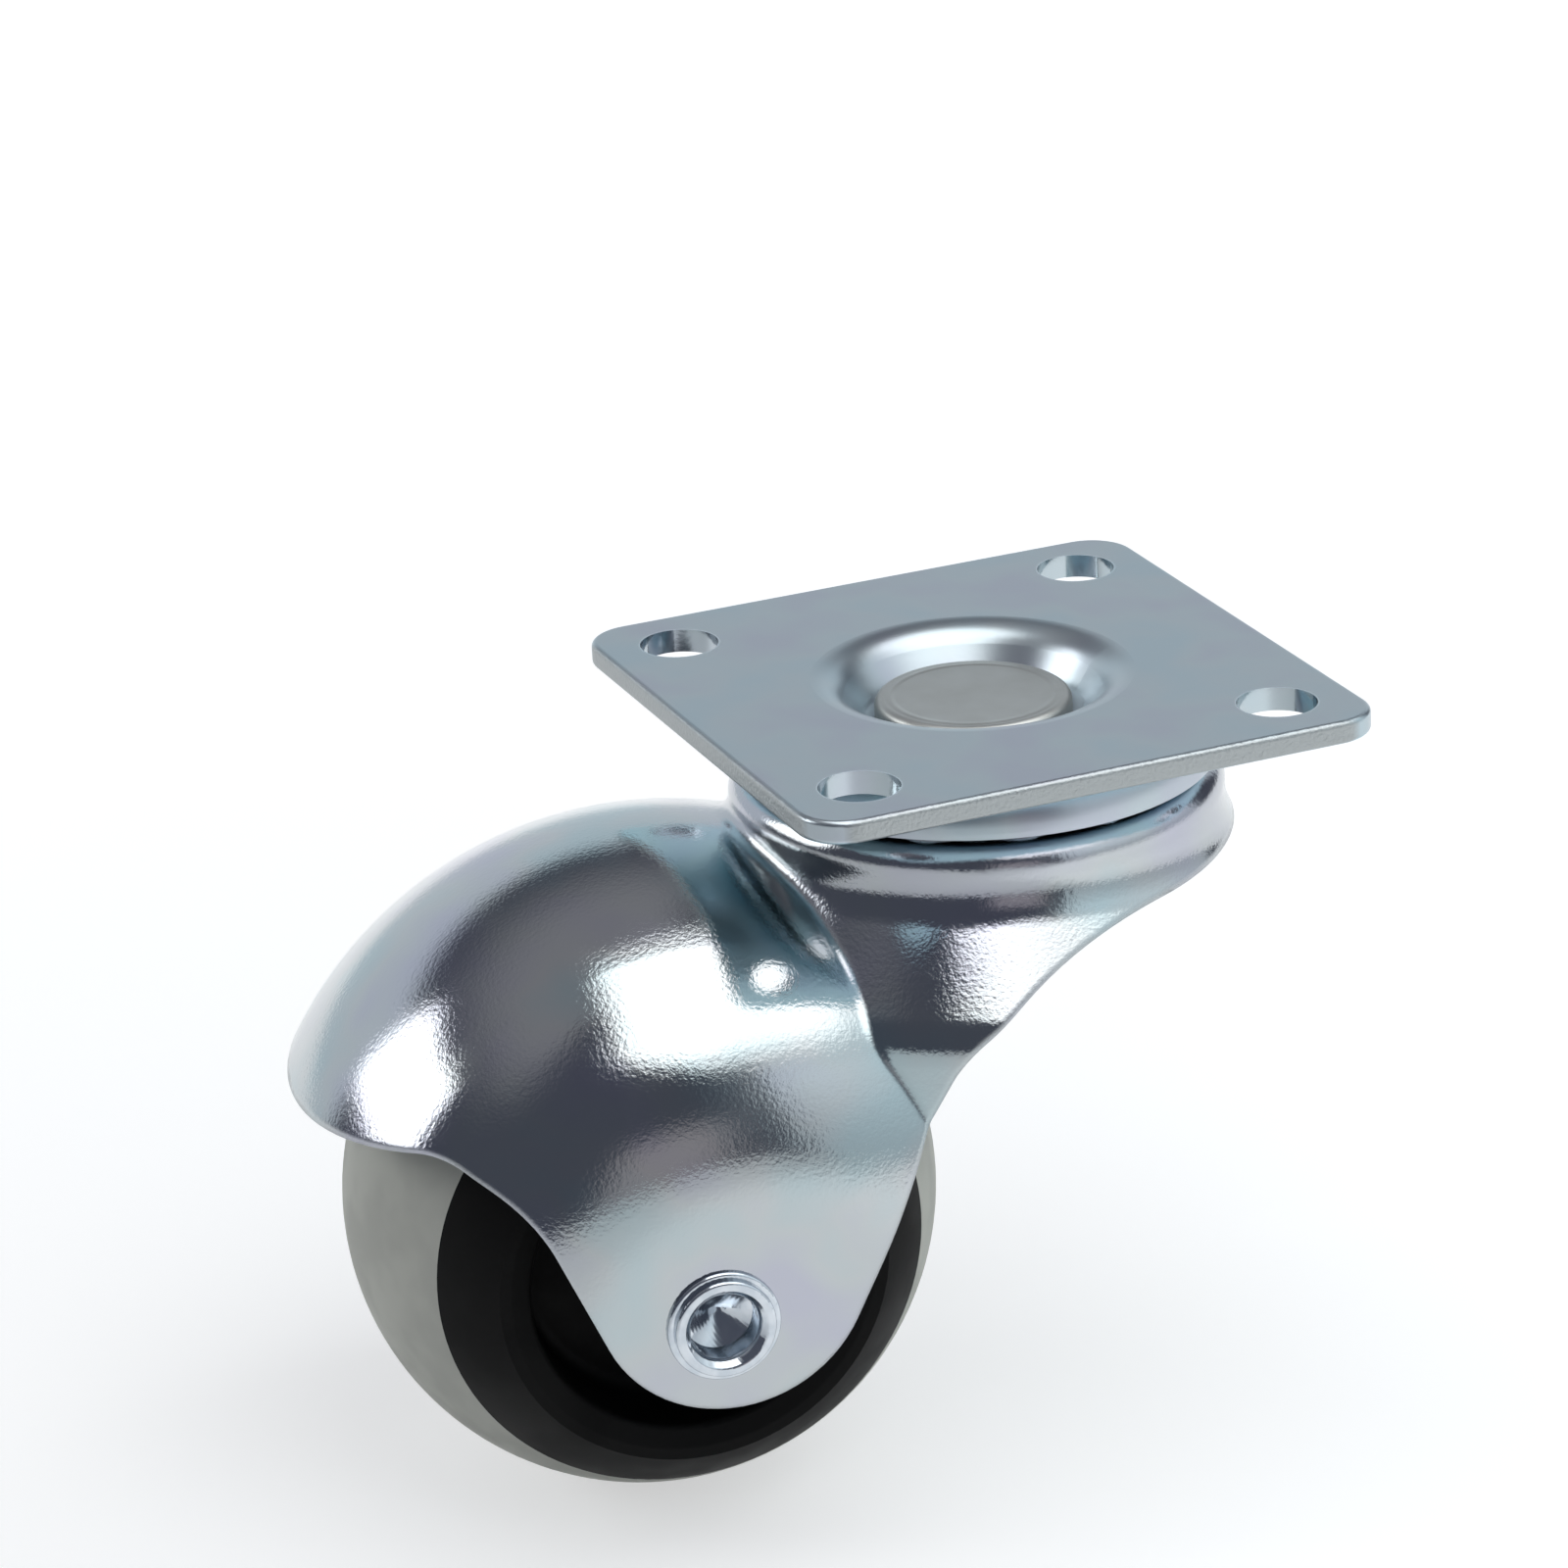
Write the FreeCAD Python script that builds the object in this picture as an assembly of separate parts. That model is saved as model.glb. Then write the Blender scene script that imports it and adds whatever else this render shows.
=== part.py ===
import FreeCAD, Part
import math
import os

# A hooded ball castor on a square swivel plate. Millimetres, +Z up.
# The origin is on the swivel axis, in the plate's top (mounting) face, and X and Y run along the plate's sides.
# The fork is drawn in its own frame, with the wheel towards -X and the axle along Y,
# and is then turned about the swivel axis to the angle at which the castor stands at rest.
SWIVEL_REST_DEG = -8.0

# Top plate: a square steel stamping with a sunk seat for the kingpin's head
PLATE_SIDE = 38.0
PLATE_THICKNESS = 1.5
PLATE_CORNER_RADIUS = 3.0
PLATE_EDGE_ROUND = 0.35
HOLE_SPACING = 28.0
HOLE_DIAMETER = 5.0
SEAT_DEPTH = 3.0
SEAT_FLANK_RUN = 2.0
SEAT_BEND_RADIUS = 1.0
SEAT_HEAD_CLEARANCE = 0.6

# Kingpin: the rivet that holds the swivel together
KINGPIN_DIAMETER = 8.0
KINGPIN_HEAD_DIAMETER = 12.4
KINGPIN_HEAD_HEIGHT = 1.6
KINGPIN_HEAD_ROUND = 0.55
KINGPIN_TAIL_DIAMETER = 11.6
KINGPIN_TAIL_HEIGHT = 1.8
KINGPIN_TAIL_ROUND = 1.2
KINGPIN_FIT = 0.04
KINGPIN_SWIVEL_CLEARANCE = 0.3

# Ball races of the swivel
UPPER_BALL_DIAMETER = 4.0
UPPER_BALL_COUNT = 14
UPPER_PITCH_RADIUS = 12.05
LOWER_BALL_DIAMETER = 3.0
LOWER_BALL_COUNT = 12
LOWER_PITCH_RADIUS = 7.0
BALL_CLEARANCE = 0.08
RACE_SHEET = 1.15
RACE_SEAT_CLEARANCE = 0.3
RACE_LIP = 0.35
RACE_GAP = 0.5
LOWER_GROOVE_DEPTH = 0.3
LOWER_RIM_RISE = 1.9

# Horn: the hooded fork, one steel pressing
SHEET = 1.3
RIM_RADIUS = 15.6
RIM_ROUND = 1.6
FLARE_START = 3.6
FLARE_SLOPE = 0.75
FLARE_BEND_RADIUS = 4.4
SKIRT_RADIUS = 20.8
TRAIL = 23.1
AXLE_BELOW_DECK = 25.85
HOOD_RADIUS = 26.4
HOOD_BACK_OF_AXLE = 1.9
HOOD_BELOW_AXLE = 2.35
HOOD_HALF_WIDTH = 20.8
HOOD_SIDE_BLEND = 16.0
LEG_TIP_RADIUS = 8.55
LEG_TIP_BACK_OF_AXLE = 0.75
LEG_TIP_ABOVE_AXLE = 2.85
LEG_FRONT_DEG = 23.6
LEG_BACK_DEG = 26.6
LEG_KNEE_ABOVE_AXLE = 8.15
LEG_KNEE_BEND = 9.0
VISOR_CORNER_AHEAD = 15.4
VISOR_CORNER_ABOVE_AXLE = 11.15
VISOR_CORNER_BEND = 3.0
VISOR_RISE_DEG = 13.5
THROAT_BELOW_DECK = 6.42
THROAT_RISE_DEG = 36.0
THROAT_LOWER_BEND = 7.0
THROAT_UPPER_BEND = 20.0
SKIRT_BACK_BELOW_DECK = 4.2
SKIRT_BACK_RISE_DEG = 4.4
VALLEY_FILLET = 0.8

# Axle: a tubular rivet through a spacer sleeve
AXLE_DIAMETER = 5.0
AXLE_FIT = 0.04
AXLE_COLLAR_DIAMETER = 7.1
AXLE_COLLAR_HEIGHT = 0.35
AXLE_LIP_DIAMETER = 6.3
AXLE_LIP_HEIGHT = 0.8
AXLE_LIP_WALL = 0.55
AXLE_EDGE_ROUND = 0.2
AXLE_CUP_DIAMETER = 4.3
AXLE_CUP_DEPTH = 1.7
AXLE_POINT_DEPTH = 1.2
SLEEVE_WALL = 1.0

# Wheel: a black core with a soft grey tread, together one ball
BALL_DIAMETER = 37.6
TREAD_HALF_WIDTH = 10.7
TREAD_THICKNESS = 5.0
WHEEL_HALF_WIDTH = 14.2
SIDE_RING_WIDTH = 1.4
SIDE_RING_DROP = 0.5
SIDE_EDGE_ROUND = 0.5
RECESS_RADIUS = 10.2
RECESS_DEPTH = 5.5
RECESS_ROUND = 0.8
HUB_WALL = 2.0
HUB_RUNNING_CLEARANCE = 0.05
HUB_SIDE_CLEARANCE = 0.4

V = FreeCAD.Vector
ORIGIN = V(0, 0, 0)
UP = V(0, 0, 1)
ALONG_AXLE = V(0, 1, 0)

# Heights of the swivel's stack, from the plate's top face down
race_top_z = -PLATE_THICKNESS
upper_ball_z = race_top_z - RACE_SHEET - BALL_CLEARANCE - UPPER_BALL_DIAMETER / 2
race_lip_z = upper_ball_z - RACE_LIP
deck_z = race_lip_z - RACE_GAP
deck_under_z = deck_z - SHEET
lower_ball_z = deck_under_z + LOWER_GROOVE_DEPTH - BALL_CLEARANCE - LOWER_BALL_DIAMETER / 2
cup_floor_z = lower_ball_z - BALL_CLEARANCE - LOWER_BALL_DIAMETER / 2
cup_under_z = cup_floor_z - RACE_SHEET

# Radii of the ball paths, a running clearance larger than the balls
upper_path = UPPER_BALL_DIAMETER / 2 + BALL_CLEARANCE
lower_path = LOWER_BALL_DIAMETER / 2 + BALL_CLEARANCE

# Places of the wheel, the hood and the legs, in the fork's frame
axle_x = -TRAIL
axle_z = deck_z - AXLE_BELOW_DECK
hood_x = axle_x + HOOD_BACK_OF_AXLE
hood_z = axle_z - HOOD_BELOW_AXLE
leg_inner_y = HOOD_HALF_WIDTH - SHEET
sleeve_bore = AXLE_DIAMETER / 2 + AXLE_FIT
sleeve_radius = sleeve_bore + SLEEVE_WALL
ball_radius = BALL_DIAMETER / 2


def toward(a, b):
    length = math.dist(a, b)
    return (b[0] - a[0]) / length, (b[1] - a[1]) / length


def crossing(p, p_deg, q, q_deg):
    """The point where the line through p at p_deg meets the line through q at q_deg."""
    p_way = (math.cos(math.radians(p_deg)), math.sin(math.radians(p_deg)))
    q_way = (math.cos(math.radians(q_deg)), math.sin(math.radians(q_deg)))
    turn = p_way[0] * q_way[1] - p_way[1] * q_way[0]
    run = ((q[0] - p[0]) * q_way[1] - (q[1] - p[1]) * q_way[0]) / turn
    return p[0] + run * p_way[0], p[1] + run * p_way[1]


def rounded_wire(corners, place):
    """A closed wire through 2-D corners (a, b, round), with a tangent arc at each corner whose round isn't 0."""
    edges = []
    ends = []
    for i, (a, b, radius) in enumerate(corners):
        back = toward((a, b), corners[i - 1][:2])
        ahead = toward((a, b), corners[(i + 1) % len(corners)][:2])
        half = math.acos(back[0] * ahead[0] + back[1] * ahead[1]) / 2
        run = radius / math.tan(half)
        start = (a + run * back[0], b + run * back[1])
        end = (a + run * ahead[0], b + run * ahead[1])
        ends.append((start, end))
        if radius > 0:
            inward = toward((0, 0), (back[0] + ahead[0], back[1] + ahead[1]))
            reach = radius / math.sin(half) - radius
            middle = (a + reach * inward[0], b + reach * inward[1])
            edges.append(Part.Arc(place(*start), place(*middle), place(*end)).toShape())
    for i, (start, _) in enumerate(ends):
        before = ends[i - 1][1]
        if math.dist(before, start) > 1e-6:
            edges.append(Part.LineSegment(place(*before), place(*start)).toShape())
    return Part.Wire(Part.__sortEdges__(edges))


def turned(corners):
    """A solid of revolution about the swivel axis from (radius, height, round) corners."""
    wire = rounded_wire(corners, lambda r, z: V(r, 0, z))
    return Part.Face(wire).revolve(ORIGIN, UP, 360)


def turned_on_axle(wire):
    """A solid of revolution about the axle from a wire of (radius, distance along the axle) points."""
    solid = Part.Face(wire).revolve(ORIGIN, ALONG_AXLE, 360)
    return solid.translated(V(axle_x, 0, axle_z))


def axle_corners(corners):
    return rounded_wire(corners, lambda r, y: V(r, y, 0))


def ball_path(pitch, z, radius):
    return Part.makeTorus(pitch, radius, V(0, 0, z), UP)


def rod(radius, low, high, x=0.0, y=0.0):
    return Part.makeCylinder(radius, high - low, V(x, y, low), UP)


def top_plate():
    half = PLATE_SIDE / 2
    square = [(x, y, PLATE_CORNER_RADIUS) for x, y in ((-half, -half), (half, -half), (half, half), (-half, half))]
    outline = rounded_wire(square, lambda x, y: V(x, y, -PLATE_THICKNESS))
    sheet = Part.Face(outline).extrude(V(0, 0, PLATE_THICKNESS))
    rim = [edge for edge in sheet.Edges if edge.BoundBox.ZLength < PLATE_THICKNESS / 2]
    sheet = sheet.makeFillet(PLATE_EDGE_ROUND, rim)
    for x in (-HOLE_SPACING / 2, HOLE_SPACING / 2):
        for y in (-HOLE_SPACING / 2, HOLE_SPACING / 2):
            sheet = sheet.cut(rod(HOLE_DIAMETER / 2, -PLATE_THICKNESS, 0, x, y))

    # The sunk seat keeps the sheet's thickness: its lower face is the upper one moved square to itself.
    floor_radius = KINGPIN_HEAD_DIAMETER / 2 + SEAT_HEAD_CLEARANCE
    mouth_radius = floor_radius + SEAT_FLANK_RUN
    flank = math.atan2(SEAT_DEPTH, SEAT_FLANK_RUN)
    shift = PLATE_THICKNESS * math.tan(flank / 2)
    bore = KINGPIN_DIAMETER / 2 + KINGPIN_FIT
    outer_bend = SEAT_BEND_RADIUS + PLATE_THICKNESS
    land = mouth_radius + shift + outer_bend * math.tan(flank / 2) + PLATE_THICKNESS
    seat = turned([
        (bore, -SEAT_DEPTH, 0), (floor_radius, -SEAT_DEPTH, SEAT_BEND_RADIUS),
        (mouth_radius, 0, outer_bend), (land, 0, 0), (land, -PLATE_THICKNESS, 0),
        (mouth_radius + shift, -PLATE_THICKNESS, SEAT_BEND_RADIUS),
        (floor_radius + shift, -SEAT_DEPTH - PLATE_THICKNESS, outer_bend),
        (bore, -SEAT_DEPTH - PLATE_THICKNESS, 0)])
    return sheet.cut(rod(land, -PLATE_THICKNESS, 0)).fuse(seat).removeSplitter()


def seat_outer_radius():
    """How far the seat's bulge reaches under the plate."""
    flank = math.atan2(SEAT_DEPTH, SEAT_FLANK_RUN)
    corner = KINGPIN_HEAD_DIAMETER / 2 + SEAT_HEAD_CLEARANCE + SEAT_FLANK_RUN
    return corner + (PLATE_THICKNESS + SEAT_BEND_RADIUS) * math.tan(flank / 2)


def kingpin():
    head_z = -SEAT_DEPTH + KINGPIN_HEAD_HEIGHT
    tail_z = cup_under_z - KINGPIN_TAIL_HEIGHT
    shank = KINGPIN_DIAMETER / 2
    return turned([
        (0, head_z, 0), (KINGPIN_HEAD_DIAMETER / 2, head_z, KINGPIN_HEAD_ROUND),
        (KINGPIN_HEAD_DIAMETER / 2, -SEAT_DEPTH, 0), (shank, -SEAT_DEPTH, 0), (shank, cup_under_z, 0),
        (KINGPIN_TAIL_DIAMETER / 2, cup_under_z, 0), (KINGPIN_TAIL_DIAMETER / 2, tail_z, KINGPIN_TAIL_ROUND),
        (0, tail_z, 0)])


def upper_race():
    inner_wall = UPPER_PITCH_RADIUS + upper_path
    outer_wall = inner_wall + RACE_SHEET
    bore = seat_outer_radius() + RACE_SEAT_CLEARANCE
    return turned([
        (bore, race_top_z, 0), (outer_wall, race_top_z, upper_path + RACE_SHEET), (outer_wall, race_lip_z, 0),
        (inner_wall, race_lip_z, 0), (inner_wall, race_top_z - RACE_SHEET, upper_path),
        (bore, race_top_z - RACE_SHEET, 0)])


def lower_race():
    bore = KINGPIN_DIAMETER / 2 + KINGPIN_FIT
    inner_wall = LOWER_PITCH_RADIUS + lower_path
    outer_wall = inner_wall + RACE_SHEET
    rim_z = cup_floor_z + LOWER_RIM_RISE
    return turned([
        (bore, cup_under_z, 0), (outer_wall, cup_under_z, lower_path + RACE_SHEET), (outer_wall, rim_z, 0),
        (inner_wall, rim_z, 0), (inner_wall, cup_floor_z, lower_path), (bore, cup_floor_z, 0)])


def ball_row(diameter, count, pitch, z):
    """The balls of one race, spread evenly round the swivel axis."""
    balls = []
    for i in range(count):
        turn = 2 * math.pi * i / count
        balls.append(Part.makeSphere(diameter / 2, V(pitch * math.cos(turn), pitch * math.sin(turn), z)))
    return balls


def hood(inset):
    """The hood's solid: a ball with flat sides and rounded shoulders, all drawn in by inset."""
    radius = HOOD_RADIUS - inset
    side = HOOD_HALF_WIDTH - inset
    blend = HOOD_SIDE_BLEND - inset
    blend_y = side - blend
    flat = math.sqrt((radius - blend) ** 2 - blend_y ** 2)
    lean = math.atan2(blend_y, flat)
    shoulder = (radius * math.cos(lean), radius * math.sin(lean))
    bend = (lean + math.pi / 2) / 2
    crown = (flat + blend * math.cos(bend), blend_y + blend * math.sin(bend))

    def at(r, y):
        return V(r, y, 0)

    edges = [
        Part.LineSegment(at(0, -side), at(flat, -side)).toShape(),
        Part.Arc(at(flat, -side), at(crown[0], -crown[1]), at(shoulder[0], -shoulder[1])).toShape(),
        Part.Arc(at(shoulder[0], -shoulder[1]), at(radius, 0), at(*shoulder)).toShape(),
        Part.Arc(at(*shoulder), at(*crown), at(flat, side)).toShape(),
        Part.LineSegment(at(flat, side), at(0, side)).toShape(),
        Part.LineSegment(at(0, side), at(0, -side)).toShape()]
    solid = Part.Face(Part.Wire(edges)).revolve(ORIGIN, ALONG_AXLE, 360)
    return solid.translated(V(hood_x, 0, hood_z))


def bell(inset):
    """The bell neck's solid: deck, rim, flare and skirt, all drawn in by inset."""
    slant = math.atan(FLARE_SLOPE)
    draw = inset * math.tan(slant / 2)
    flare_top = deck_z - FLARE_START + draw
    flare_foot = deck_z - FLARE_START - (SKIRT_RADIUS - RIM_RADIUS) / FLARE_SLOPE + draw
    foot_z = hood_z - 2 * HOOD_RADIUS
    return turned([
        (0, deck_z - inset, 0), (RIM_RADIUS - inset, deck_z - inset, RIM_ROUND - inset),
        (RIM_RADIUS - inset, flare_top, FLARE_BEND_RADIUS + inset),
        (SKIRT_RADIUS - inset, flare_foot, FLARE_BEND_RADIUS - inset),
        (SKIRT_RADIUS - inset, foot_z, 0), (0, foot_z, 0)])


def fork_outline():
    """The side outline that trims the drawn shell: visor edge, leg, throat and the skirt's back edge."""
    tip_x = axle_x + LEG_TIP_BACK_OF_AXLE
    tip_z = axle_z + LEG_TIP_ABOVE_AXLE
    front = math.radians(LEG_FRONT_DEG)
    back = math.radians(LEG_BACK_DEG)
    leg_front = (tip_x - LEG_TIP_RADIUS * math.cos(front), tip_z - LEG_TIP_RADIUS * math.sin(front))
    leg_back = (tip_x + LEG_TIP_RADIUS * math.cos(back), tip_z - LEG_TIP_RADIUS * math.sin(back))
    front_way = 90 + LEG_FRONT_DEG
    back_way = 90 - LEG_BACK_DEG
    tip_corner = crossing(leg_front, front_way, leg_back, back_way)
    knee = crossing(leg_front, front_way, (axle_x, axle_z + LEG_KNEE_ABOVE_AXLE), 0)
    visor_corner = (axle_x - VISOR_CORNER_AHEAD, axle_z + VISOR_CORNER_ABOVE_AXLE)
    front_x = hood_x - 2 * HOOD_RADIUS
    visor_front = crossing(visor_corner, VISOR_RISE_DEG, (front_x, 0), 90)
    throat = (0, deck_z - THROAT_BELOW_DECK)
    throat_foot = crossing(leg_back, back_way, throat, THROAT_RISE_DEG)
    skirt_back = (RIM_RADIUS, deck_z - SKIRT_BACK_BELOW_DECK)
    throat_top = crossing(throat, THROAT_RISE_DEG, skirt_back, SKIRT_BACK_RISE_DEG)
    back_x = 2 * SKIRT_RADIUS
    skirt_end = crossing(skirt_back, SKIRT_BACK_RISE_DEG, (back_x, 0), 90)
    return [
        (*visor_front, 0), (*visor_corner, VISOR_CORNER_BEND), (*knee, LEG_KNEE_BEND), (*tip_corner, LEG_TIP_RADIUS),
        (*throat_foot, THROAT_LOWER_BEND), (*throat_top, THROAT_UPPER_BEND), (*skirt_end, 0),
        (back_x, SHEET, 0), (front_x, SHEET, 0)]


def valley_rounded(hood_part, bell_part, radius):
    """Hood and bell as one solid, with the valley where they meet rounded."""
    joined = hood_part.fuse(bell_part).removeSplitter()
    valley = []
    for edge in joined.Edges:
        middle = Part.Vertex(edge.valueAt((edge.FirstParameter + edge.LastParameter) / 2))
        if all(solid.Shells[0].distToShape(middle)[0] < 1e-4 for solid in (hood_part, bell_part)):
            valley.append(edge)
    return joined.makeFillet(radius, valley)


def horn():
    drawn = valley_rounded(hood(0), bell(0), VALLEY_FILLET)
    hollow = valley_rounded(hood(SHEET), bell(SHEET), VALLEY_FILLET + SHEET)
    shell = drawn.cut(hollow)

    # The pressed ball groove keeps the sheet's thickness: the deck bulges below it.
    groove = ball_path(UPPER_PITCH_RADIUS, upper_ball_z, upper_path)
    bulge = ball_path(UPPER_PITCH_RADIUS, upper_ball_z, upper_path + SHEET)
    below = rod(RIM_RADIUS, deck_under_z - UPPER_BALL_DIAMETER, deck_under_z)
    shell = shell.fuse(bulge.common(below)).cut(groove)
    shell = shell.cut(ball_path(LOWER_PITCH_RADIUS, lower_ball_z, lower_path))
    shell = shell.cut(rod(KINGPIN_DIAMETER / 2 + KINGPIN_SWIVEL_CLEARANCE, deck_under_z - SHEET, deck_z))

    # Trimming to the side outline, and the axle holes
    reach = 2 * HOOD_HALF_WIDTH
    outline = rounded_wire(fork_outline(), lambda x, z: V(x, -reach, z))
    trimmed = shell.common(Part.Face(outline).extrude(V(0, 2 * reach, 0)))
    hole = Part.makeCylinder(sleeve_bore, 2 * reach, V(axle_x, -reach, axle_z), ALONG_AXLE)
    return trimmed.cut(hole).removeSplitter()


def axle():
    leg = HOOD_HALF_WIDTH
    lip = AXLE_LIP_DIAMETER / 2
    cup = AXLE_CUP_DIAMETER / 2
    cup_foot = leg + AXLE_COLLAR_HEIGHT - AXLE_CUP_DEPTH
    half = [
        (0, cup_foot - AXLE_POINT_DEPTH, 0), (cup, cup_foot, 0), (cup, leg + AXLE_COLLAR_HEIGHT, AXLE_LIP_WALL),
        (lip - AXLE_LIP_WALL, leg + AXLE_LIP_HEIGHT, AXLE_EDGE_ROUND), (lip, leg + AXLE_LIP_HEIGHT, AXLE_EDGE_ROUND),
        (lip, leg + AXLE_COLLAR_HEIGHT, 0),
        (AXLE_COLLAR_DIAMETER / 2, leg + AXLE_COLLAR_HEIGHT, AXLE_EDGE_ROUND), (AXLE_COLLAR_DIAMETER / 2, leg, 0),
        (AXLE_DIAMETER / 2, leg, 0)]
    other = [(r, -y, bend) for r, y, bend in reversed(half)]
    return turned_on_axle(axle_corners(half + other))


def axle_sleeve():
    return turned_on_axle(axle_corners([
        (sleeve_bore, -leg_inner_y, 0), (sleeve_radius, -leg_inner_y, 0),
        (sleeve_radius, leg_inner_y, 0), (sleeve_bore, leg_inner_y, 0)]))


def ball_at(y):
    return math.sqrt(ball_radius ** 2 - y ** 2)


def wheel_core():
    tread_seat = ball_radius - TREAD_THICKNESS
    bore = sleeve_radius + HUB_RUNNING_CLEARANCE
    hub = bore + HUB_WALL
    hub_end = leg_inner_y - HUB_SIDE_CLEARANCE
    recess_foot = WHEEL_HALF_WIDTH - RECESS_DEPTH
    ring_y = WHEEL_HALF_WIDTH - SIDE_RING_DROP
    core = turned_on_axle(axle_corners([
        (bore, -hub_end, 0), (bore, hub_end, 0), (hub, hub_end, SIDE_EDGE_ROUND), (hub, recess_foot, RECESS_ROUND),
        (RECESS_RADIUS, recess_foot, RECESS_ROUND), (RECESS_RADIUS, ring_y, SIDE_EDGE_ROUND),
        (RECESS_RADIUS + SIDE_RING_WIDTH, WHEEL_HALF_WIDTH, SIDE_EDGE_ROUND), (ball_radius, WHEEL_HALF_WIDTH, 0),
        (ball_radius, TREAD_HALF_WIDTH, 0), (tread_seat, TREAD_HALF_WIDTH, 0),
        (tread_seat, -TREAD_HALF_WIDTH, 0), (ball_radius, -TREAD_HALF_WIDTH, 0),
        (ball_radius, -WHEEL_HALF_WIDTH, 0), (RECESS_RADIUS + SIDE_RING_WIDTH, -WHEEL_HALF_WIDTH, SIDE_EDGE_ROUND),
        (RECESS_RADIUS, -ring_y, SIDE_EDGE_ROUND), (RECESS_RADIUS, -recess_foot, RECESS_ROUND),
        (hub, -recess_foot, RECESS_ROUND), (hub, -hub_end, SIDE_EDGE_ROUND)]))
    ball = Part.makeSphere(ball_radius, V(axle_x, 0, axle_z), ALONG_AXLE)
    hub_room = Part.makeCylinder(hub, 2 * hub_end, V(axle_x, -hub_end, axle_z), ALONG_AXLE)
    return core.common(ball.fuse(hub_room)).removeSplitter()


def tread():
    seat = ball_radius - TREAD_THICKNESS
    edge = ball_at(TREAD_HALF_WIDTH)

    def at(r, y):
        return V(r, y, 0)

    wire = Part.Wire([
        Part.LineSegment(at(seat, -TREAD_HALF_WIDTH), at(edge, -TREAD_HALF_WIDTH)).toShape(),
        Part.Arc(at(edge, -TREAD_HALF_WIDTH), at(ball_radius, 0), at(edge, TREAD_HALF_WIDTH)).toShape(),
        Part.LineSegment(at(edge, TREAD_HALF_WIDTH), at(seat, TREAD_HALF_WIDTH)).toShape(),
        Part.LineSegment(at(seat, TREAD_HALF_WIDTH), at(seat, -TREAD_HALF_WIDTH)).toShape()])
    return turned_on_axle(wire)


def save(name, shape):
    solids = shape.Solids
    print(name, "valid" if shape.isValid() else "INVALID", len(solids), "solid", round(shape.Volume, 1), "mm3")
    (solids[0] if len(solids) == 1 else shape).exportStep(f"parts/{name}.step")


def main():
    os.makedirs("parts", exist_ok=True)
    for make in (top_plate, kingpin, upper_race, lower_race):
        save(make.__name__, make())
    rows = (("upper_ball", UPPER_BALL_DIAMETER, UPPER_BALL_COUNT, UPPER_PITCH_RADIUS, upper_ball_z),
            ("lower_ball", LOWER_BALL_DIAMETER, LOWER_BALL_COUNT, LOWER_PITCH_RADIUS, lower_ball_z))
    for name, diameter, count, pitch, z in rows:
        for i, ball in enumerate(ball_row(diameter, count, pitch, z)):
            save(f"{name}_{i + 1:02d}", ball)
    for make in (horn, axle, axle_sleeve, wheel_core, tread):
        piece = make()
        piece.rotate(ORIGIN, UP, SWIVEL_REST_DEG)
        save(make.__name__, piece)


main()
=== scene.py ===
import bpy
import math
import numpy as np
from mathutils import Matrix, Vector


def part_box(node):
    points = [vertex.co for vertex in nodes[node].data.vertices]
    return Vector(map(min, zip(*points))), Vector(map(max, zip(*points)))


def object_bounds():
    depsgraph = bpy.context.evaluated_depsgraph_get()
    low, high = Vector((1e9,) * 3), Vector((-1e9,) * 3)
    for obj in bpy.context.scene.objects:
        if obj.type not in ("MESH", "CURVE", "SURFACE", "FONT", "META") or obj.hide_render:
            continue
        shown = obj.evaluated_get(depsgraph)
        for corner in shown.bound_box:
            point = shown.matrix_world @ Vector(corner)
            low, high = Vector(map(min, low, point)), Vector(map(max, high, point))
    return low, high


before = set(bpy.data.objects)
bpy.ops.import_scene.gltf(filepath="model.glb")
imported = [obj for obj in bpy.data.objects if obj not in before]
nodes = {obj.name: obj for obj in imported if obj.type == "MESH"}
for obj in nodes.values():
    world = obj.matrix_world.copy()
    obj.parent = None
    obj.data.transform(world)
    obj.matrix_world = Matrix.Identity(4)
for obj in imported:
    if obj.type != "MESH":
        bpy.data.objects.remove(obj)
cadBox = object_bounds()  # the CAD model's own box
mm = 0.001  # metres in a millimetre
white = "#ffffff"
print("frame loaded,", len(nodes), "nodes")


def linear(hexColour):
    # undoes the sRGB curve channel by channel: a power of 2.4 above the short straight toe
    values = np.array([int(hexColour[i:i + 2], 16) for i in (1, 3, 5)]) / 255
    flat = np.where(values <= 0.04045, values / 12.92, ((values + 0.055) / 1.055) ** 2.4)
    return (*flat.tolist(), 1.0)


def addNode(tree, kind, settings=None, links=None):
    # settings name a property of the node or one of its sockets, links name sockets that other outputs feed
    node = tree.nodes.new(kind)
    for name, value in (settings or {}).items():
        if isinstance(name, str) and hasattr(node, name):
            setattr(node, name, value)
        else:
            node.inputs[name].default_value = value
    for name, output in (links or {}).items():
        tree.links.new(output, node.inputs[name])
    return node


def softWindow(tree, value, full, none):
    # 1 where the value is past full, 0 where it is past none, and an S-shaped step between them
    step = addNode(tree, "ShaderNodeMapRange",
                   {"interpolation_type": "SMOOTHSTEP", "From Min": none, "From Max": full},
                   {"Value": value})
    return step.outputs[0]


def bareMaterial(name):
    material = bpy.data.materials.new(name)
    material.use_nodes = True
    material.node_tree.nodes.clear()
    return material, material.node_tree


def newMaterial(name):
    material, tree = bareMaterial(name)
    shader = addNode(tree, "ShaderNodeBsdfPrincipled")
    addNode(tree, "ShaderNodeOutputMaterial", links={"Surface": shader.outputs["BSDF"]})
    place = addNode(tree, "ShaderNodeTexCoord").outputs["Object"]
    return material, tree, shader, place


def dress(material, *names):
    for name in names:
        slots = nodes[name].data.materials
        slots.clear()
        slots.append(material)


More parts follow.
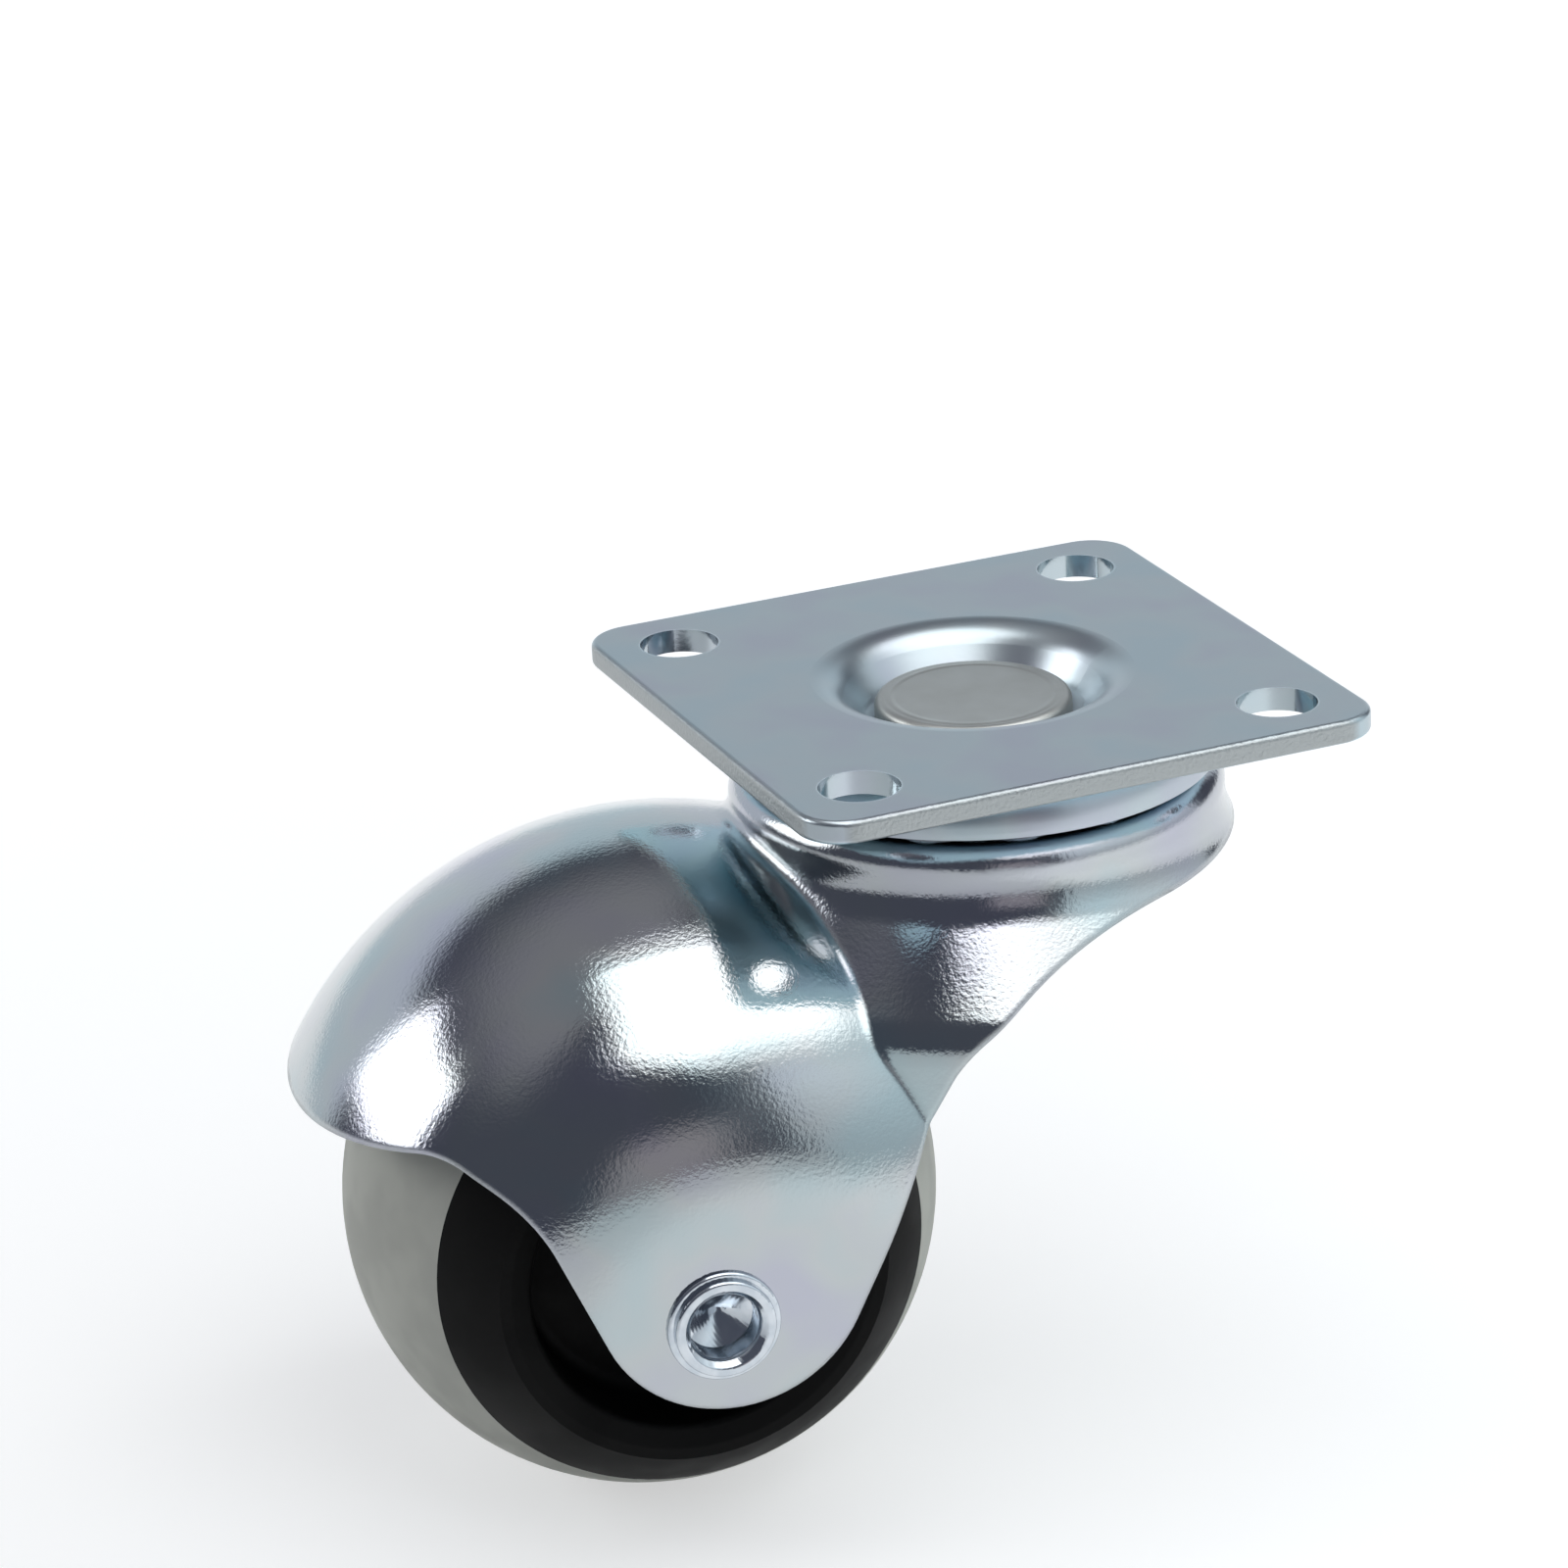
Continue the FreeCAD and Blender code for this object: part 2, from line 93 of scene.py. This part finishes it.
def stageSheet(name, corners, level):
    # one flat four-sided sheet of the studio through its corners (x, y) in mm, at a height in mm
    mesh = bpy.data.meshes.new(name)
    mesh.from_pydata([(x * mm, y * mm, level * mm) for x, y in corners], [], [(0, 1, 2, 3)])
    sheetObject = bpy.data.objects.new(name, mesh)
    bpy.context.scene.collection.objects.link(sheetObject)
    return sheetObject


# Camera: solved from the four screw holes, so that the plate's square and its holes fall where the
# photograph has them.
camera = {
    "place": (-142.256, -312.216, 129.700),  # mm from the origin on the plate
    "turn": (68.2545, 2.4359, -23.4538),  # degrees about X, Y and Z
    "lens": 135.0,
    "sensor": 36.0,
    "clipStart": 10.0,  # mm
}
cameraData = bpy.data.cameras.new("productCamera")
cameraData.lens = camera["lens"]
cameraData.sensor_width = camera["sensor"]
cameraData.clip_start = camera["clipStart"] * mm
cameraObject = bpy.data.objects.new("productCamera", cameraData)
cameraObject.location = [value * mm for value in camera["place"]]
cameraObject.rotation_euler = [math.radians(value) for value in camera["turn"]]
bpy.context.scene.collection.objects.link(cameraObject)
bpy.context.scene.camera = cameraObject
bpy.context.scene.view_settings.view_transform = "Standard"

# Studio: a dim room with a window, pale walls and a small warm lamp shade far in front.
# In degrees: azimuth 0 is towards -Y and 90 towards +X, elevation is above the horizon, size is half the
# width and half the height, and edge is the softness.
studio = {
    "room": ("#4f525c", 1.25),
    "walls": [
        dict(azimuth=-121, elevation=26, size=(18, 11), edge=2.5, colour=white, strength=3.6),  # the window
        dict(azimuth=54, elevation=12, size=(40, 44), edge=3, colour="#e9f0f2", strength=0.66),
        dict(azimuth=54, elevation=42, size=(40, 24), edge=18, colour="#e4f2f6", strength=0.5),
        dict(azimuth=172, elevation=2, size=(50, 28), edge=4, colour="#e6eef2", strength=0.8),
        dict(azimuth=-140, elevation=64, size=(75, 18), edge=14, colour="#dcd6d4", strength=0.3),
        dict(azimuth=-8, elevation=9, size=(11, 10), edge=5, colour="#e0d4d2", strength=0.42),  # the shade
    ],
}


def buildWorld():
    # a wall is a soft window in azimuth and elevation, and the walls add up over the room's own dim light
    world = bpy.data.worlds.new("studioRoom")
    bpy.context.scene.world = world
    world.use_nodes = True
    tree = world.node_tree
    tree.nodes.clear()
    way = addNode(tree, "ShaderNodeTexCoord").outputs["Generated"]
    height = addNode(tree, "ShaderNodeSeparateXYZ", links={"Vector": way}).outputs["Z"]
    rise = addNode(tree, "ShaderNodeMath", {"operation": "ARCSINE"}, {0: height}).outputs[0]
    roomColour, roomStrength = studio["room"]
    total = addNode(tree, "ShaderNodeVectorMath",
                    {"operation": "SCALE", 0: linear(roomColour)[:3], "Scale": roomStrength}).outputs[0]
    for wall in studio["walls"]:
        turned = addNode(tree, "ShaderNodeVectorRotate",
                         {"rotation_type": "Z_AXIS", "Angle": -math.radians(wall["azimuth"])},
                         {"Vector": way})
        parts = addNode(tree, "ShaderNodeSeparateXYZ", links={"Vector": turned.outputs["Vector"]})
        back = addNode(tree, "ShaderNodeMath", {"operation": "MULTIPLY", 1: -1.0}, {0: parts.outputs["Y"]})
        around = addNode(tree, "ShaderNodeMath", {"operation": "ARCTAN2"},
                         {0: parts.outputs["X"], 1: back.outputs[0]})
        above = addNode(tree, "ShaderNodeMath",
                        {"operation": "SUBTRACT", 1: math.radians(wall["elevation"])}, {0: rise})
        insides = []
        for offset, half in zip((around, above), wall["size"]):
            size = addNode(tree, "ShaderNodeMath", {"operation": "ABSOLUTE"}, {0: offset.outputs[0]})
            insides.append(softWindow(tree, size.outputs[0], math.radians(half - wall["edge"]),
                                      math.radians(half + wall["edge"])))
        light = addNode(tree, "ShaderNodeMath", {"operation": "MULTIPLY"}, {0: insides[0], 1: insides[1]})
        tint = [channel * wall["strength"] for channel in linear(wall["colour"])[:3]]
        total = addNode(tree, "ShaderNodeVectorMath", {"operation": "MULTIPLY_ADD", 1: tint},
                        {0: light.outputs[0], 2: total}).outputs[0]
    room = addNode(tree, "ShaderNodeBackground", links={"Color": total})
    addNode(tree, "ShaderNodeOutputWorld", links={"Surface": room.outputs[0]})


buildWorld()

# Light sheet: a white sheet of light hung close above the castor. Its edges are lines about a point over the
# hood: the way each faces in degrees from +X, how far off it is in mm, and its softness in mm.
sheet = {
    "height": 150.0,  # mm above the plate
    "centre": (-25.0, -10.0),  # mm
    "reach": 400.0,  # mm
    "strength": 2.5,
    "edges": ((168.0, 41.0, 5.0), (217.6, 122.0, 12.0), (0.0, 200.0, 84.0), (90.0, 41.0, 8.0),
              (285.0, 203.0, 70.0)),
}


def buildSheet():
    # the light is a product of half planes with soft edges, on one flat sheet that the camera doesn't see
    x, y = sheet["centre"]
    reach = sheet["reach"]
    lamp = stageSheet("lightSheet", ((x - reach, y - reach), (x - reach, y + reach), (x + reach, y + reach),
                                     (x + reach, y - reach)), sheet["height"])
    lamp.visible_camera = False
    material, tree = bareMaterial("white light sheet, even")
    place = addNode(tree, "ShaderNodeTexCoord").outputs["Object"]
    about = addNode(tree, "ShaderNodeVectorMath", {"operation": "SUBTRACT", 1: (x * mm, y * mm, 0.0)},
                    {0: place})
    light = None
    for facing, distance, soft in sheet["edges"]:
        outward = (math.cos(math.radians(facing)), math.sin(math.radians(facing)), 0.0)
        reached = addNode(tree, "ShaderNodeVectorMath", {"operation": "DOT_PRODUCT", 1: outward},
                          {0: about.outputs[0]})
        inside = softWindow(tree, reached.outputs["Value"], (distance - soft) * mm, (distance + soft) * mm)
        light = inside if light is None else addNode(
            tree, "ShaderNodeMath", {"operation": "MULTIPLY"}, {0: light, 1: inside}).outputs[0]
    power = addNode(tree, "ShaderNodeMath", {"operation": "MULTIPLY", 1: sheet["strength"]}, {0: light})
    glow = addNode(tree, "ShaderNodeEmission", {"Color": linear(white)}, {"Strength": power.outputs[0]})
    clear = addNode(tree, "ShaderNodeBsdfTransparent")
    shown = addNode(tree, "ShaderNodeMixShader", links={0: light, 1: clear.outputs[0], 2: glow.outputs[0]})
    addNode(tree, "ShaderNodeOutputMaterial", links={"Surface": shown.outputs[0]})
    lamp.data.materials.append(material)


buildSheet()

# Floor: a sweep of white paper, shown white to the eye and in the metal, with the castor's soft shadow kept.
# Its glow carries painted shade: weaker near the castor, and falling off to a pale grey on the side away
# from the light sheet, which the metal of the fork shows too.
floor = {
    "reach": 6000.0,  # mm
    "colour": "#c0c2c3",
    "rough": 0.9,
    "gloss": 0.1,
    "paintedShadeNear": (50.0, 0.54),  # mm from the plate's middle, and the glow there beside the light sheet's own, dimmed as painted shade near the castor
    "far": (220.0, 0.82),
    "ahead": (-0.87, -0.5, 0.0),  # the way to the side of painted grey shade
    "full": 38.0,  # mm that way, up to where the glow is whole
    "paintedShadeEnd": (110.0, 0.5),  # mm that way, and the share of the glow that is left from there on, as painted shade
}


def buildFloor():
    reach = floor["reach"]
    paper = stageSheet("paperFloor", ((-reach, -reach), (reach, -reach), (reach, reach), (-reach, reach)),
                       cadBox[0].z / mm)
    material, tree, shader, place = newMaterial("white paper, matt coated")
    shader.inputs["Base Color"].default_value = linear(floor["colour"])
    shader.inputs["Roughness"].default_value = floor["rough"]
    shader.inputs["Specular IOR Level"].default_value = floor["gloss"]
    nearAt, nearGlow = floor["paintedShadeNear"]
    farAt, farGlow = floor["far"]
    paintedShadeEndAt, share = floor["paintedShadeEnd"]
    # painted shade: the glow is weaker near the castor and towards the grey side
    away = addNode(tree, "ShaderNodeVectorMath", {"operation": "LENGTH"}, {0: place})
    glow = addNode(tree, "ShaderNodeMapRange",
                   {"From Min": nearAt * mm, "From Max": farAt * mm, "To Min": nearGlow, "To Max": farGlow},
                   {"Value": away.outputs["Value"]})
    out = addNode(tree, "ShaderNodeVectorMath", {"operation": "DOT_PRODUCT", 1: floor["ahead"]}, {0: place})
    paintedFalloff = addNode(tree, "ShaderNodeMapRange",
                   {"interpolation_type": "SMOOTHSTEP", "From Min": floor["full"] * mm,
                    "From Max": paintedShadeEndAt * mm, "To Min": 1.0, "To Max": share},
                   {"Value": out.outputs["Value"]})
    glow = addNode(tree, "ShaderNodeMath", {"operation": "MULTIPLY"},
                   {0: glow.outputs[0], 1: paintedFalloff.outputs[0]})
    rays = addNode(tree, "ShaderNodeLightPath")
    seen = addNode(tree, "ShaderNodeMath", {"operation": "MAXIMUM"},
                   {0: rays.outputs["Is Camera Ray"], 1: rays.outputs["Is Transmission Ray"]})
    seen = addNode(tree, "ShaderNodeMath", {"operation": "MAXIMUM"},
                   {0: seen.outputs[0], 1: rays.outputs["Is Glossy Ray"]})
    shown = addNode(tree, "ShaderNodeMath", {"operation": "MULTIPLY"},
                    {0: seen.outputs[0], 1: glow.outputs[0]})
    shader.inputs["Emission Color"].default_value = linear(white)
    tree.links.new(shown.outputs[0], shader.inputs["Emission Strength"])
    paper.data.materials.append(material)


buildFloor()
print("camera, studio and floor built")


def zincFilm(tree, place, look):
    # the passivation film drifts from violet through the pale zinc to cyan, about the middle of a noise
    film = addNode(tree, "ShaderNodeTexNoise", {"Scale": 1 / (look["filmSize"] * mm), "Detail": 2.0},
                   {"Vector": place})
    ramp = addNode(tree, "ShaderNodeValToRGB", links={"Fac": film.outputs["Fac"]})
    stops = ramp.color_ramp.elements
    stops[0].position = 0.5 - look["filmSpread"]
    stops[0].color = linear(look["violet"])
    stops[1].position = 0.5 + look["filmSpread"]
    stops[1].color = linear(look["cyan"])
    stops.new(0.5).color = linear(look["pale"])
    return ramp.outputs["Color"]


# Bright zinc on deep-drawn steel: nearly a mirror, with a faint orange peel that speckles the edges of
# reflections and a thin blue passivation film that drifts between cyan and violet.
hornZinc = {
    "pale": "#b4b9bb",
    "cyan": "#a9b9bd",
    "violet": "#b0b2bd",
    "filmSize": 9.0,  # mm across one drift of colour
    "filmSpread": 0.18,
    "peelSize": 0.26,  # mm across one bump of the orange peel
    "peelHeight": 0.015,  # mm
    "peelRough": 0.55,
    "waveSize": 2.6,  # mm, the slower unevenness of the drawn sheet
    "waveHeight": 0.006,  # mm
    "waveBand": (0.3, 0.7),  # values of its noise between which the roughness goes from low to high
    "roughLow": 0.07,
    "roughHigh": 0.12,
    "edgeRound": 0.5,  # mm, the rolled-over edge that the trimming tool leaves
    "edgeSamples": 6,
}


def zincOfHorn(look):
    material, tree, shader, place = newMaterial("bright zinc plate on deep-drawn steel")
    tree.links.new(zincFilm(tree, place, look), shader.inputs["Base Color"])
    shader.inputs["Metallic"].default_value = 1.0
    peel = addNode(tree, "ShaderNodeTexNoise",
                   {"Scale": 1 / (look["peelSize"] * mm), "Detail": 3.0, "Roughness": look["peelRough"]},
                   {"Vector": place})
    wave = addNode(tree, "ShaderNodeTexNoise", {"Scale": 1 / (look["waveSize"] * mm), "Detail": 1.0},
                   {"Vector": place})
    bandLow, bandHigh = look["waveBand"]
    rough = addNode(tree, "ShaderNodeMapRange",
                    {"From Min": bandLow, "From Max": bandHigh, "To Min": look["roughLow"],
                     "To Max": look["roughHigh"]}, {"Value": wave.outputs["Fac"]})
    tree.links.new(rough.outputs[0], shader.inputs["Roughness"])
    edge = addNode(tree, "ShaderNodeBevel",
                   {"samples": look["edgeSamples"], "Radius": look["edgeRound"] * mm})
    slow = addNode(tree, "ShaderNodeBump", {"Distance": look["waveHeight"] * mm},
                   {"Height": wave.outputs["Fac"], "Normal": edge.outputs["Normal"]})
    fine = addNode(tree, "ShaderNodeBump", {"Distance": look["peelHeight"] * mm},
                   {"Height": peel.outputs["Fac"], "Normal": slow.outputs["Normal"]})
    tree.links.new(fine.outputs["Normal"], shader.inputs["Normal"])
    return material


dress(zincOfHorn(hornZinc), "horn")

# Satin zinc on stamped sheet: a soft grey-blue sheen with fine rolling grain, and a coarse torn grain on the
# cut edges.
plateZinc = {
    "pale": "#b4bfc4",
    "cyan": "#aebec5",
    "violet": "#b2b8c2",
    "edge": "#a4a9aa",
    "under": "#c6e4ee",  # painted highlight: the underside of the plate and races is painted lighter and bluer than the top, and the hood reflects it as cyan
    "underBand": (-0.3, -0.8),  # heights of the normal between which the painted highlight sets in
    "edgeFrom": 18.75,  # mm from the middle
    "edgeTo": 18.95,
    "filmSize": 8.0,  # mm across one drift of colour
    "filmSpread": 0.16,
    "grainSize": 0.3,  # mm
    "grainHeight": 0.003,  # mm
    "tornSize": 0.25,  # mm across one torn grain of the cut edge
    "tornHeight": 0.06,  # mm
    "rough": 0.32,
    "edgeRough": 0.42,
    "holePlace": 14.0,  # mm from the middle, both ways
    "holeWall": 2.6,  # mm, just outside the hole's own radius
    "holeRough": 0.14,  # the punch burnishes the hole's wall
}


def zincOfPlate(look):
    material, tree, shader, place = newMaterial("satin zinc plate on stamped steel")
    folded = addNode(tree, "ShaderNodeVectorMath", {"operation": "ABSOLUTE"}, {0: place}).outputs[0]
    sides = addNode(tree, "ShaderNodeSeparateXYZ", links={"Vector": folded})
    outmost = addNode(tree, "ShaderNodeMath", {"operation": "MAXIMUM"},
                      {0: sides.outputs["X"], 1: sides.outputs["Y"]})
    cut = addNode(tree, "ShaderNodeMapRange",
                  {"From Min": look["edgeFrom"] * mm, "From Max": look["edgeTo"] * mm},
                  {"Value": outmost.outputs[0]}).outputs[0]
    facing = addNode(tree, "ShaderNodeNewGeometry").outputs["Normal"]
    upward = addNode(tree, "ShaderNodeSeparateXYZ", links={"Vector": facing}).outputs["Z"]
    underNone, underFull = look["underBand"]
    paintedUnderside = addNode(tree, "ShaderNodeMapRange", {"From Min": underNone, "From Max": underFull},
                    # painted highlight: faces that look down are painted lighter and bluer, which shows as
                    # cyan where the hood reflects them
                    {"Value": upward})
    blue = addNode(tree, "ShaderNodeMix", {"data_type": "RGBA", 7: linear(look["under"])},
                   {0: paintedUnderside.outputs[0], 6: zincFilm(tree, place, look)})
    tone = addNode(tree, "ShaderNodeMix", {"data_type": "RGBA", 7: linear(look["edge"])},
                   {0: cut, 6: blue.outputs[2]})
    tree.links.new(tone.outputs[2], shader.inputs["Base Color"])
    shader.inputs["Metallic"].default_value = 1.0

    rough = addNode(tree, "ShaderNodeMapRange", {"To Min": look["rough"], "To Max": look["edgeRough"]},
                    {"Value": cut})
    hole = look["holePlace"] * mm
    fromHole = addNode(tree, "ShaderNodeVectorMath", {"operation": "SUBTRACT", 1: (hole, hole, 0.0)},
                       {0: folded})
    fromHole = addNode(tree, "ShaderNodeVectorMath", {"operation": "MULTIPLY", 1: (1.0, 1.0, 0.0)},
                       {0: fromHole.outputs[0]})
    fromHole = addNode(tree, "ShaderNodeVectorMath", {"operation": "LENGTH"}, {0: fromHole.outputs[0]})
    punched = addNode(tree, "ShaderNodeMath", {"operation": "LESS_THAN", 1: look["holeWall"] * mm},
                      {0: fromHole.outputs["Value"]})
    rough = addNode(tree, "ShaderNodeMix", {"data_type": "FLOAT", 3: look["holeRough"]},
                    {0: punched.outputs[0], 2: rough.outputs[0]})
    tree.links.new(rough.outputs[0], shader.inputs["Roughness"])

    grain = addNode(tree, "ShaderNodeTexNoise", {"Scale": 1 / (look["grainSize"] * mm), "Detail": 3.0},
                    {"Vector": place})
    torn = addNode(tree, "ShaderNodeTexNoise", {"Scale": 1 / (look["tornSize"] * mm), "Detail": 2.0},
                   {"Vector": place})
    tornCut = addNode(tree, "ShaderNodeMath", {"operation": "MULTIPLY"}, {0: torn.outputs["Fac"], 1: cut})
    bump = addNode(tree, "ShaderNodeBump", {"Distance": look["grainHeight"] * mm},
                   {"Height": grain.outputs["Fac"]})
    bump = addNode(tree, "ShaderNodeBump", {"Distance": look["tornHeight"] * mm},
                   {"Height": tornCut.outputs[0], "Normal": bump.outputs["Normal"]})
    tree.links.new(bump.outputs["Normal"], shader.inputs["Normal"])
    return material


dress(zincOfPlate(plateZinc), "top_plate", "upper_race", "lower_race")

# Plated rivet steel: a matt, slightly warm grey with the faint grain of a struck head and a ring left by the
# heading die.
rivetSteel = {
    "face": "#c4c7c5",
    "dull": "#b2b4b0",
    "rough": 0.42,
    "grainSize": 0.35,  # mm
    "grainHeight": 0.004,  # mm
    "patchSize": 2.4,  # mm across one duller patch
    "ringRadius": 5.2,  # mm
    "ringWidth": 0.35,  # mm
    "ringHeight": 0.05,  # mm
}


def steelOfRivet(look):
    material, tree, shader, place = newMaterial("plated rivet steel, struck")
    patch = addNode(tree, "ShaderNodeTexNoise", {"Scale": 1 / (look["patchSize"] * mm), "Detail": 3.0},
                    {"Vector": place})
    tone = addNode(tree, "ShaderNodeMix",
                   {"data_type": "RGBA", 6: linear(look["face"]), 7: linear(look["dull"])},
                   {0: patch.outputs["Fac"]})
    tree.links.new(tone.outputs[2], shader.inputs["Base Color"])
    shader.inputs["Metallic"].default_value = 1.0
    shader.inputs["Roughness"].default_value = look["rough"]
    grain = addNode(tree, "ShaderNodeTexNoise", {"Scale": 1 / (look["grainSize"] * mm), "Detail": 3.0},
                    {"Vector": place})
    bump = addNode(tree, "ShaderNodeBump", {"Distance": look["grainHeight"] * mm},
                   {"Height": grain.outputs["Fac"]})
    flat = addNode(tree, "ShaderNodeVectorMath", {"operation": "MULTIPLY", 1: (1.0, 1.0, 0.0)}, {0: place})
    radius = addNode(tree, "ShaderNodeVectorMath", {"operation": "LENGTH"}, {0: flat.outputs[0]})
    off = addNode(tree, "ShaderNodeMath", {"operation": "SUBTRACT", 1: look["ringRadius"] * mm},
                  {0: radius.outputs["Value"]})
    off = addNode(tree, "ShaderNodeMath", {"operation": "ABSOLUTE"}, {0: off.outputs[0]})
    ring = softWindow(tree, off.outputs[0], 0.0, look["ringWidth"] * mm)
    bump = addNode(tree, "ShaderNodeBump", {"Distance": look["ringHeight"] * mm},
                   {"Height": ring, "Normal": bump.outputs["Normal"]})
    tree.links.new(bump.outputs["Normal"], shader.inputs["Normal"])
    return material


dress(steelOfRivet(rivetSteel), "kingpin", "axle_sleeve")

patchBand = (0.65, 0.35)  # values of a patch noise that are all shade and all face


def patchy(tree, shader, place, look):
    # face and shade drift into each other in soft patches, and the roughness goes with them
    patch = addNode(tree, "ShaderNodeTexNoise", {"Scale": 1 / (look["patchSize"] * mm), "Detail": 2.0},
                    {"Vector": place})
    part = softWindow(tree, patch.outputs["Fac"], *patchBand)
    tone = addNode(tree, "ShaderNodeMix",
                   {"data_type": "RGBA", 6: linear(look["face"]), 7: linear(look["shade"])}, {0: part})
    rough = addNode(tree, "ShaderNodeMapRange", {"To Min": look["roughLow"], "To Max": look["roughHigh"]},
                    {"Value": part})
    tree.links.new(tone.outputs[2], shader.inputs["Base Color"])
    tree.links.new(rough.outputs[0], shader.inputs["Roughness"])


def grained(tree, shader, place, look):
    # one size of grain, raised by its height
    grain = addNode(tree, "ShaderNodeTexNoise", {"Scale": 1 / (look["grainSize"] * mm), "Detail": 2.0},
                    {"Vector": place})
    bump = addNode(tree, "ShaderNodeBump", {"Distance": look["grainHeight"] * mm},
                   {"Height": grain.outputs["Fac"]})
    tree.links.new(bump.outputs["Normal"], shader.inputs["Normal"])


# Bright-plated rivet end: a clean mirror with a blue cast, and the faint rings of the tool that rolled it.
axleSteel = {
    "face": "#ccd2d8",
    "shade": "#bec6ce",  # thinner plating
    "patchSize": 1.2,  # mm across one patch of it
    "roughLow": 0.09,
    "roughHigh": 0.16,
    "ringPitch": 0.25,  # mm between the rings, coarser than the real ones so that they show
    "ringHeight": 0.0015,  # mm
}


def steelOfAxle(look):
    material, tree, shader, place = newMaterial("bright plated rivet, rolled over")
    patchy(tree, shader, place, look)
    shader.inputs["Metallic"].default_value = 1.0
    low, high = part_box("axle")
    middle = [-(low[i] + high[i]) / 2 for i in range(3)]
    centred = addNode(tree, "ShaderNodeMapping", {"Location": middle}, {"Vector": place})
    period = math.pi / 10  # of the wave texture's rings at scale 1
    rings = addNode(tree, "ShaderNodeTexWave",
                    {"wave_type": "RINGS", "rings_direction": "Y",
                     "Scale": period / (look["ringPitch"] * mm)},
                    {"Vector": centred.outputs["Vector"]})
    bump = addNode(tree, "ShaderNodeBump", {"Distance": look["ringHeight"] * mm},
                   {"Height": rings.outputs["Fac"]})
    tree.links.new(bump.outputs["Normal"], shader.inputs["Normal"])
    return material


dress(steelOfAxle(axleSteel), "axle")

# Bearing steel: ground and polished balls, a little duller where they have run.
ballSteel = {
    "face": "#cdd0d3",
    "shade": "#c2c5c9",
    "patchSize": 0.8,  # mm
    "roughLow": 0.06,
    "roughHigh": 0.14,
}


def steelOfBalls(look):
    material, tree, shader, place = newMaterial("bearing steel, polished")
    patchy(tree, shader, place, look)
    shader.inputs["Metallic"].default_value = 1.0
    return material


dress(steelOfBalls(ballSteel), *[name for name in nodes if "_ball_" in name])

# Black polypropylene core, moulded: matt and dense, with the fine spark grain of the mould.
corePlastic = {
    "face": "#070707",
    "shade": "#0b0b0b",
    "patchSize": 5.0,  # mm, the melt's slow drift
    "roughLow": 0.55,
    "roughHigh": 0.66,
    "gloss": 0.12,
    "grainSize": 0.3,  # mm
    "grainHeight": 0.006,  # mm
}


def plasticOfCore(look):
    material, tree, shader, place = newMaterial("black polypropylene, moulded matt")
    patchy(tree, shader, place, look)
    grained(tree, shader, place, look)
    shader.inputs["Specular IOR Level"].default_value = look["gloss"]
    return material


dress(plasticOfCore(corePlastic), "wheel_core")

# Grey thermoplastic rubber tread, moulded: dull and even, a little soft at grazing angles, faintly clouded.
treadRubber = {
    "face": "#c6c7bd",
    "shade": "#bebfb6",
    "patchSize": 4.0,  # mm across one cloud
    "roughLow": 0.58,
    "roughHigh": 0.67,
    "grainSize": 0.4,  # mm
    "grainHeight": 0.004,  # mm
}


def rubberOfTread(look):
    material, tree, shader, place = newMaterial("grey thermoplastic rubber, moulded")
    patchy(tree, shader, place, look)
    grained(tree, shader, place, look)
    return material


dress(rubberOfTread(treadRubber), "tread")
print("materials on")
